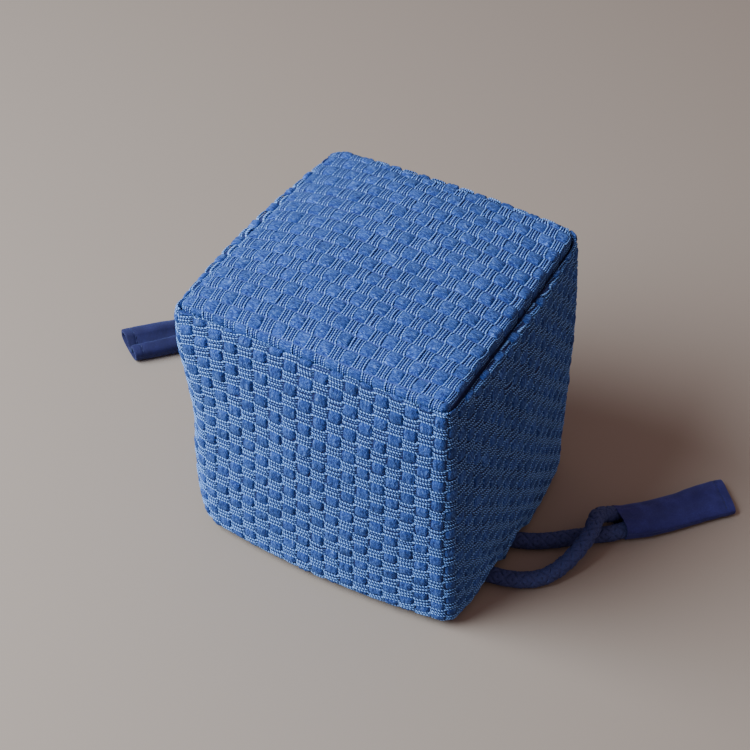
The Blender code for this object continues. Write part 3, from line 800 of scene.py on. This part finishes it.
def band_lattice(i, j):
    """Column and depth of a cell: the cloth lies a little skew on the wall, and
    its rows open out in the upper half and close up towards the rim."""
    p = (np.clip(i, -11.5, 5.6) + 3) / 9
    q = (j - 9) / 10
    da = cubic(p, q, BAND_ACROSS)
    db = cubic(p, q, BAND_DOWN)
    # level again on the far side of the bag, where the two ends meet
    ease = smooth((i - 10.0) / 26.0)
    p0 = np.full_like(p, (-11.5 + 3) / 9)
    da = da + (cubic(p0, q, BAND_ACROSS) - da) * ease
    db = db + (cubic(p0, q, BAND_DOWN) - db) * ease
    return i + da / PT, 14.34 + PF * j + db


def band_place(cells, across, along):
    i, j = cells[:, :1], cells[:, 1:]
    col, v = band_lattice(i + across / PT, j + along / PF)
    col = col + 0.07 * wander(i + 0 * col, j + 0 * col, 11)
    v = v + 0.30 * wander(i + 0 * v, j + 0 * v, 12)
    # beside the seam with the panel the right wall's cloth turns down sharply
    turned = smooth((col - COLS[2] - 0.1) / 0.4) * smooth((COLS[3] + 0.3 - col) / 0.4)
    v = np.maximum(v, np.where(turned > 0.5, 0.95, V0 + 0.3))
    p, n = band_at(col, v)
    # sink into the join at the back left corner
    near = np.minimum(np.abs(col - COLS[0]), np.abs(col - COLS[-1]))
    p = p - n * (1.1 * np.exp(-((near / 0.33) ** 2)) * smooth((v - 2) / 4))[..., None]
    return p, n * (seam_share(v + 0.2) * (1 - 0.6 * turned * (1 - smooth(v / 2.6))))[..., None]


def band_cells():
    out = {}
    first, last = int(math.floor(COLS[0])), int(math.ceil(COLS[-1]))
    walls = ("left", "front", "right", "back")
    for i in range(first, last + 1):
        if i < COLS[0] + 0.25 or i > COLS[-1] - 0.25:
            continue
        wall = walls[min(max(int(np.searchsorted(COLS, i)) - 1, 0), 3)]
        for j in range(-6, 26):
            v = float(band_lattice(np.array(float(i)), np.array(float(j)))[1])
            if v < (0.1 if wall == "right" else V0 + 0.8) or v > V1 - 6.5:
                continue
            out.setdefault((wall, (i + j) % 2), []).append((i, j))
    return {k: np.array(c, float) for k, c in out.items()}


PIECES = {"side_band": [], "base_panel": []}
for (wall, odd), cells in band_cells().items():
    if odd == 0:
        NT = 10 if wall in ("front", "right") else 8
        made = tufts(cells, band_place, (2.36, 2.46), f"band_soft_yarns_{wall}", TUFT, 1.20, 0.09)
    else:
        made = floats(cells, band_place, (2.95, 1.60), f"band_thin_yarns_{wall}", THIN)
    PIECES["side_band"].append(made)


# ---- panel weave ------------------------------------------------------------------
def panel_lattice(i, j):
    """Soft yarns run along X here, thin yarns along Y."""
    p, q = (i + 2) / 11, (j - 10) / 9
    return -3.81 + PF * i + cubic(p, q, PANEL_ACROSS), -31.14 + PT * j + cubic(p, q, PANEL_BACK)


def panel_place(cells, across, along):
    i, j = cells[:, :1], cells[:, 1:]
    x, y = panel_lattice(i + along / PF, j + across / PTP)
    x = x + 0.30 * wander(i + 0 * x, j + 0 * x, 13)
    y = y + 0.38 * wander(i + 0 * x, j + 0 * x, 14)
    p, n = panel_at(x, y)
    dx, dy = drawn_out(x, y)
    edge = np.maximum(np.abs(x - dx) - HX, np.abs(y - dy) - HY)
    return p, n * seam_share(0.6 - edge)[..., None]


panel_cells = {0: [], 1: []}
for i in range(-16, 18):
    for j in range(-6, 22):
        x, y = panel_lattice(float(i), float(j))
        dx, dy = drawn_out(x, y)
        if abs(x - dx) < HX + 3.4 and abs(y - dy) < HY + 3.6:
            if (i + j) % 2 and y - dy > HY + 1.4:
                continue  # wholly inside the back seam
            panel_cells[(i + j) % 2].append((i, j))
NT = 10
PIECES["base_panel"].append(tufts(np.array(panel_cells[0], float), panel_place, (2.70, 2.50), "panel_soft_yarns", TUFT, 1.16, 0.20))
PIECES["base_panel"].append(floats(np.array(panel_cells[1], float), panel_place, (2.90, 1.62), "panel_thin_yarns", THIN_TOP, False))


# ---- ground cloth under the weave: closed pieces -------------------------------------
def band_ground():
    inner = [(SEAM_INSET + 0.5, HEIGHT - PANEL - GAP - 0.2, HEIGHT), (WALL, HEIGHT - PANEL - GAP - 0.2, HEIGHT), (WALL, 60.0, 60.0), (WALL, 30.0, 30.0), (WALL, 12.0, 12.0), (WALL, 7.6, 7.6), (5.6, 6.0, 6.0)]
    lifts = (0, 0, 0, 0, 0, 0.2, 1.6)
    step = 5
    outer = BAND.p[::step, ::3] - BAND.n[::step, ::3] * 0.15
    outer[..., 2] = np.maximum(outer[..., 2], 0.05)
    rows = [outer[:, k] for k in range(outer.shape[1])]
    for (inset, z, plan), lift in zip(inner[::-1], lifts[::-1]):
        rows.append(ring_at(inset, z, plan, lift)[::step])
    p = np.stack(rows, 1)
    nu, nv = p.shape[:2]
    a, b = np.meshgrid(np.arange(nu), np.arange(nv), indexing="ij")
    q = np.stack([a * nv + b, a * nv + (b + 1) % nv, ((a + 1) % nu) * nv + (b + 1) % nv, ((a + 1) % nu) * nv + b], -1).reshape(-1, 4)
    return make_mesh("band_cloth", p.reshape(-1, 3), [q], GROUND)


band = band_ground()
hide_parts("side_band")


def panel_ground():
    g = np.arange(-50, 50.1, 2.0)
    sub = slice(None, None, 4)
    top = PANEL_S.p[sub, sub] - PANEL_S.n[sub, sub] * 0.15
    nx, ny = top.shape[:2]
    low = top.copy()
    low[..., 2] = np.minimum(top[..., 2] - 0.6, HEIGHT - PANEL + 0.0)
    low[..., 2] = HEIGHT - PANEL
    top[..., 2] = np.maximum(top[..., 2], HEIGHT - PANEL + 0.5)
    verts = np.concatenate([top.reshape(-1, 3), low.reshape(-1, 3)])
    up = grid_faces(nx, ny)
    down = grid_faces(nx, ny, base=nx * ny, flip=True)
    idx = np.arange(nx * ny).reshape(nx, ny)
    ring = np.concatenate([idx[0, :-1], idx[:-1, -1], idx[-1, :0:-1], idx[:0:-1, 0]])
    nxt = np.roll(ring, -1)
    wall = np.stack([ring, nxt, nxt + nx * ny, ring + nx * ny], 1)
    return make_mesh("panel_cloth", verts, [up, down, wall], GROUND_TOP)


panel = panel_ground()
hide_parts("base_panel")
PIECES["grounds"] = [band, panel]

# =============================================================================
# Tabs: a tube of plain cloth over the cord ends, pressed flat, both ends turned in
# =============================================================================
TABS = {
    "tab_right": ((77.9, 23.5), 49.2, 0.15, (
        (0.0, 0.2, 6.3, 7.3, 0.0), (3.0, 0.7, 6.3, 6.9, 0.0), (9.0, 1.1, 6.6, 5.8, 0.1), (16.0, 1.0, 6.7, 5.0, 0.2),
        (23.0, 0.6, 6.8, 4.4, 0.3), (30.0, -0.1, 7.3, 4.0, 0.3), (36.5, -0.3, 7.5, 3.7, 0.2), (41.0, -0.3, 7.4, 3.4, 0.1),
    )),
    "tab_left": ((-78.5, 44.7), 226.2, -0.14, (
        (0.0, 0.0, 6.3, 7.3, 0.0), (3.0, 0.0, 6.3, 7.0, 0.9), (9.0, 0.0, 6.5, 6.8, 2.9), (16.0, 0.0, 6.9, 6.6, 3.9),
        (23.0, 0.0, 7.1, 6.4, 4.3), (30.0, 0.0, 7.3, 6.2, 4.5), (36.5, 0.0, 7.5, 6.0, 4.5), (41.5, 0.0, 7.4, 5.6, 4.1),
    )),
}


# The tabs' plain cloth. painted_light_scale multiplies all its tones and stands in for light: the two tabs get lit and
# shaded copies of one cloth.
def tab_cloth(name, painted_light_scale):
    s = Shader(name, 0.8)
    uv = s.uv()
    split = s.node("ShaderNodeSeparateXYZ", [(0, uv)])
    weft = s.math("SINE", s.math("MULTIPLY", split.outputs["X"], 2 * math.pi / 0.42))
    warp = s.math("SINE", s.math("MULTIPLY", split.outputs["Y"], 2 * math.pi / 0.42))
    weave = s.math("MULTIPLY", weft, warp)
    slow = s.noise(s.scaled(uv, (0.16, 0.16, 1.0)), 1.0, 4.0, 0.55)
    fine = s.noise(s.scaled(uv, (2.0, 2.0, 1.0)), 1.0, 3.0, 0.6)
    tone = s.math("ADD", s.math("MULTIPLY", slow, 0.6), s.math("MULTIPLY", fine, 0.4))
    tones = ((0.36, (0.0100, 0.0098, 0.064)), (0.52, (0.0148, 0.0146, 0.090)), (0.66, (0.0215, 0.0218, 0.127)))
    colour = s.ramp(tone, [(at, tuple(painted_light_scale * c for c in tint)) for at, tint in tones])
    height = s.math("MULTIPLY_ADD", weave, 0.3, fine)
    return s.finish(colour, s.bump(height, 0.00012, 0.8), Sheen_Weight=0.35, Sheen_Roughness=0.4, Sheen_Tint=(0.3, 0.4, 1.0, 1.0), Specular_IOR_Level=0.25)


# Lit and shaded copies of the one tab cloth: the right tab's colour is painted lighter, painted light in place of the
# shade the bag casts on it; the left tab's is painted darker, painted shade of its deep fold.
TAB_MATS = {"tab_right": tab_cloth("indigo_tab_cloth", 1.70), "tab_left": tab_cloth("indigo_tab_cloth_painted_shade", 0.68)}
THREAD_MAT = principled("indigo_thread", (0.0155, 0.020, 0.092), 0.6)[0]


def make_tab(name):
    near, heading, slant, stations = TABS[name]
    st = np.array(stations)
    L = st[-1, 0]
    turn = math.radians(heading)
    u = np.array([math.cos(turn), math.sin(turn)])
    w = np.array([u[1], -u[0]])
    around = 56
    k = np.arange(around)
    ang = 2 * np.pi * k / around
    c, sn = np.cos(ang), np.sin(ang)
    seed = 21 if name == "tab_right" else 22

    def section(s, scale=1.0, thin=1.0, lift=0.0):
        aside, half, thick, fold = (float(np.interp(s, st[:, 0], st[:, q])) for q in (1, 2, 3, 4))
        half, thick = half * scale, thick * thin
        t = half * np.sign(c) * np.abs(c) ** 0.72
        z = thick / 2 * (1 + np.sign(sn) * np.abs(sn) ** 0.62)
        top = sn > 0
        # the fold, a little off the middle, and gathers that fade from the near end
        z = z - np.where(top, fold * np.exp(-np.abs((t - 0.3 * math.sin(s / 9.0) + 0.5) / 1.55) ** 2.4), 0)
        gather = 0.16 * np.cos(t * 2.6 + noise1(np.array([s / 6.0 + 30]), seed)[0] * 1.5) * math.exp(-s / 7.0)
        soft = 0.22 * noise2(np.full_like(t, s / 9.0 + 20), t / 5.0 + 20, seed) + 0.07 * noise2(np.full_like(t, s / 3.0 + 20), t / 1.7 + 20, seed + 5)
        edge = smooth(np.array([min(s, L - s) / 3.0]))[0]
        z = z + np.where(top, (gather + soft * edge), 0) * np.abs(sn) ** 0.5
        # turned-in end: a faint dip along the row of stitches
        z = z - np.where(top, 0.22, 0.0) * math.exp(-(((s - (L - 3.1)) / 0.45) ** 2)) * np.abs(sn) ** 0.4
        z = z + np.where(top, 0.10, 0.0) * float(smooth(np.array([(s - L + 3.0) / 0.8]))[0])
        side = 0.10 * noise1(np.array([s / 2.7 + 9]), seed + 9)[0] * np.sign(c)
        along = s - slant * t * (s / L)
        t = t + aside + side
        z = np.maximum(z + lift, 0.03)
        return np.stack([near[0] + u[0] * along + w[0] * t, near[1] + u[1] * along + w[1] * t, z], 1), t

    rows, uvs = [], []
    lip = 0.30

    def add(s, **kw):
        p, t = section(s, **kw)
        rows.append(p)
        mid = p.mean(0)
        uvs.append(np.stack([np.full(around, s), t + 40 * (sn <= 0)], 1))
        return mid

    # pocket at the near end, round the cord ends
    deep = 2.6
    p_in, _ = section(deep, 0.86, 0.86, 0.45)
    rows.append(p_in)
    uvs.append(np.stack([np.full(around, deep), c * 6 + 80], 1))
    for s, sc, th, li in ((1.2, 0.87, 0.87, 0.42), (0.25, 0.89, 0.89, 0.38), (0.0, 0.94, 0.95, 0.2)):
        add(s, scale=sc, thin=th, lift=li)
    for s in np.concatenate([[0.0, 0.18, 0.45], np.linspace(0.9, L - 3.9, 40), np.linspace(L - 3.6, L - 0.5, 12), [L - 0.2]]):
        add(float(s))
    add(L, scale=0.975, thin=0.95, lift=0.06)
    for s, sc, th, li in ((L, 0.92, 0.78, 0.3), (L - 0.5, 0.90, 0.64, 0.55), (L - 2.4, 0.88, 0.52, 0.8)):
        add(s, scale=sc, thin=th, lift=li)
    p = np.stack(rows, 0)
    uv = np.stack(uvs, 0)
    n = len(rows)
    i, j = np.meshgrid(np.arange(n - 1), np.arange(around), indexing="ij")
    q = np.stack([i * around + j, i * around + (j + 1) % around, (i + 1) * around + (j + 1) % around, (i + 1) * around + j], -1).reshape(-1, 4)
    # which way round
    mid = p[n // 2].mean(0)
    f = q[(n // 2) * around]
    flat = p.reshape(-1, 3)
    fn = np.cross(flat[f[1]] - flat[f[0]], flat[f[2]] - flat[f[0]])
    flip = np.dot(fn, flat[f].mean(0) - mid) < 0
    cap0, cap1 = np.arange(around)[::-1][None], (np.arange(around) + (n - 1) * around)[None]
    if flip:
        q, cap0, cap1 = q[:, ::-1], cap0[:, ::-1], cap1[:, ::-1]
    obj = make_mesh(name + "_cloth", flat, [q, cap0, cap1], TAB_MATS[name], uv=uv.reshape(-1, 2))

    # a row of stitches across the far end, on the upper side
    verts, faces, base = [], [], 0
    s0 = L - 3.1
    p0, t0 = section(s0)
    up = sn > 0.02
    order = np.argsort(t0[up])
    line = p0[up][order]
    run = np.concatenate([[0], np.cumsum(np.linalg.norm(np.diff(line, axis=0), axis=1))])
    at, long = 0.8, 1.25
    while at + long < run[-1] - 0.6:
        m = np.linspace(at, at + long, 6)
        mid_line = np.stack([np.interp(m, run, line[:, q_]) for q_ in range(3)], 1)
        mid_line[:, 2] += 0.02 + 0.10 * np.sin(np.linspace(0, np.pi, 6))
        d = mid_line[-1] - mid_line[0]
        d /= np.linalg.norm(d)
        sd = np.cross(d, [0, 0, 1.0])
        sd /= np.linalg.norm(sd)
        upv = np.cross(sd, d)
        sides = 6
        a6 = 2 * np.pi * np.arange(sides) / sides
        rr = 0.13 * np.array([0.5, 1, 1, 1, 1, 0.5])
        ring = mid_line[:, None] + rr[:, None, None] * (sd * np.cos(a6)[:, None] + upv * np.sin(a6)[:, None])[None]
        verts.append(ring.reshape(-1, 3))
        ii, jj = np.meshgrid(np.arange(5), np.arange(sides), indexing="ij")
        q6 = np.stack([ii * sides + jj, ii * sides + (jj + 1) % sides, (ii + 1) * sides + (jj + 1) % sides, (ii + 1) * sides + jj], -1).reshape(-1, 4)
        faces.append(q6 + base)
        faces.append((np.arange(sides)[::-1] + base)[None])
        faces.append((np.arange(sides) + 5 * sides + base)[None])
        base += 6 * sides
        at += long + 0.75
    thread = make_mesh(name + "_stitches", np.concatenate(verts), faces, THREAD_MAT)
    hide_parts(name)
    return obj, thread


TAB_PIECES = {name: make_tab(name) for name in TABS}


# =============================================================================
# Mouth: the weave drawn together on the underside
# =============================================================================
def build_hem():
    poly = np.concatenate(outline_polys(COLLAR_Z + 1, WALL + 0.42, 1.0))
    rel = poly - np.array(MOUTH_C)
    ang = np.arctan2(rel[:, 1], rel[:, 0])
    rad = np.hypot(rel[:, 0], rel[:, 1])
    order = np.argsort(ang)
    ang, rad = ang[order], rad[order]
    keep = np.concatenate([[True], np.diff(ang) > 1e-6])
    ang, rad = ang[keep], rad[keep]
    turn = 2 * np.pi * np.arange(PLEATS * 16) / (PLEATS * 16)
    far = np.interp((turn + np.pi) % (2 * np.pi) - np.pi, ang, rad, period=2 * np.pi)
    rows = []
    wave = np.cos(PLEATS * turn)
    for share in np.linspace(-0.06, 0.92, 34):
        sh = max(share, 0.0)
        rise = np.interp(sh, (0, 0.25, 0.6, 0.92), (0.0, 0.4, 1.0, 1.2))
        ruck = 1.5 * (0.5 + 0.5 * wave) * math.sin(math.pi * min(sh * 0.62 + 0.02, 1.0))
        r = far + (CHANNEL_R + 0.6 - far) * sh - 30 * min(share, 0.0) * 0.3
        z = COLLAR_Z + rise + ruck + 6 * max(-share, 0.0)
        rows.append(np.stack([MOUTH_C[0] + r * np.cos(turn), MOUTH_C[1] + r * np.sin(turn), z], 1))
    channel = ((16.4, 0.5), (16.3, -2.4), (15.0, -5.2), (12.2, -6.1), (9.4, -5.0), (8.0, -1.2), (9.0, 2.6))
    pts = np.array(channel)
    run = np.concatenate([[0], np.cumsum(np.linalg.norm(np.diff(pts, axis=0), axis=1))])
    for m in np.linspace(0, run[-1], 24):
        r, up = np.interp(m, run, pts[:, 0]), np.interp(m, run, pts[:, 1])
        swell = 0.35 * wave * (1 if r > 10 else -1) + (0.25 * wave if up < -2 else 0)
        rows.append(np.stack([MOUTH_C[0] + (r + swell) * np.cos(turn), MOUTH_C[1] + (r + swell) * np.sin(turn), np.full(len(turn), COLLAR_Z + up)], 1))
    p = np.stack(rows, 1)
    s = Surface(p, True)
    if s.n[0, 10, 2] > 0:
        s.n = -s.n
    s.depth = np.concatenate([[0], np.cumsum(np.linalg.norm(np.diff(p.mean(0) * 0 + p[0], axis=0), axis=1))])
    return s


HEM = build_hem()
HEM_COLS = PLEATS * 3
HEM_P = 4.0


def hem_place(cells, across, along):
    i, j = cells[:, :1], cells[:, 1:]
    d = 2.0 + HEM_P * j + along
    row = np.interp(d, HEM.depth, np.arange(len(HEM.depth)))
    nu = HEM.p.shape[0]
    # keep the elements' proportions as the cloth draws together
    p0, _ = HEM.at(i * nu / HEM_COLS + 0 * d, row)
    radius = np.hypot(p0[..., 0] - MOUTH_C[0], p0[..., 1] - MOUTH_C[1])
    pitch = 2 * np.pi * radius / HEM_COLS
    col = i + across / PT
    p, n = HEM.at(col * nu / HEM_COLS, row)
    return p, n * np.clip(0.35 + 0.13 * pitch, 0.35, 1.0)[..., None]


hem_cells = {0: [], 1: []}
for i in range(HEM_COLS):
    for j in range(0, int((HEM.depth[-1] - 3.0) / HEM_P)):
        hem_cells[(i + j) % 2].append((i, j))
NT = 5
hem_soft = tufts(np.array(hem_cells[0], float), hem_place, (2.2, 2.5), "mouth_soft_yarns", TUFT)
NY, SY = 5, 4
hem_thin = floats(np.array(hem_cells[1], float), hem_place, (2.9, 1.55), "mouth_thin_yarns", THIN)
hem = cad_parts["mouth_hem"]
hem.data.materials.clear()
hem.data.materials.append(GROUND)


for name, (obj, path, length) in CORDS.items():
    tab, thread = TAB_PIECES["tab_right" if "right" in name else "tab_left"]


# =============================================================================
# Floor and light
# =============================================================================
def stage():
    mesh = bpy.data.meshes.new("floor")
    s = 3.0
    mesh.from_pydata([(-s, -s, 0), (s, -s, 0), (s, s, 0), (-s, s, 0)], [], [(0, 1, 2, 3)])
    m, nodes, links, b = principled("floor_plain", (0.285, 0.228, 0.198), 0.9)
    mesh.materials.append(m)
    floor = bpy.data.objects.new("floor", mesh)
    bpy.context.scene.collection.objects.link(floor)

    def area(name, place, aim, size, power, colour):
        light = bpy.data.lights.new(name, "AREA")
        light.shape = "DISK"
        light.size = size
        light.energy = power
        light.color = colour
        obj = bpy.data.objects.new(name, light)
        obj.location = place
        direction = Vector(aim) - Vector(place)
        obj.rotation_euler = direction.to_track_quat("-Z", "Y").to_euler()
        bpy.context.scene.collection.objects.link(obj)

    area("key", (-0.50, -0.41, 0.585), (0, 0, 0.05), 0.74, 19.4, (0.85, 0.99, 1.04))
    world = bpy.data.worlds.new("world") if not bpy.context.scene.world else bpy.context.scene.world
    bpy.context.scene.world = world
    world.use_nodes = True
    bg = world.node_tree.nodes["Background"]
    bg.inputs["Color"].default_value = (1.13, 0.86, 0.80, 1)
    bg.inputs["Strength"].default_value = 0.338


stage()

counts = {o.name: sum(len(p.vertices) - 2 for p in o.data.polygons) for o in bpy.context.scene.objects if o.type == "MESH"}
print("TRIANGLES", sum(counts.values()), {k: v for k, v in counts.items() if v > 20000})
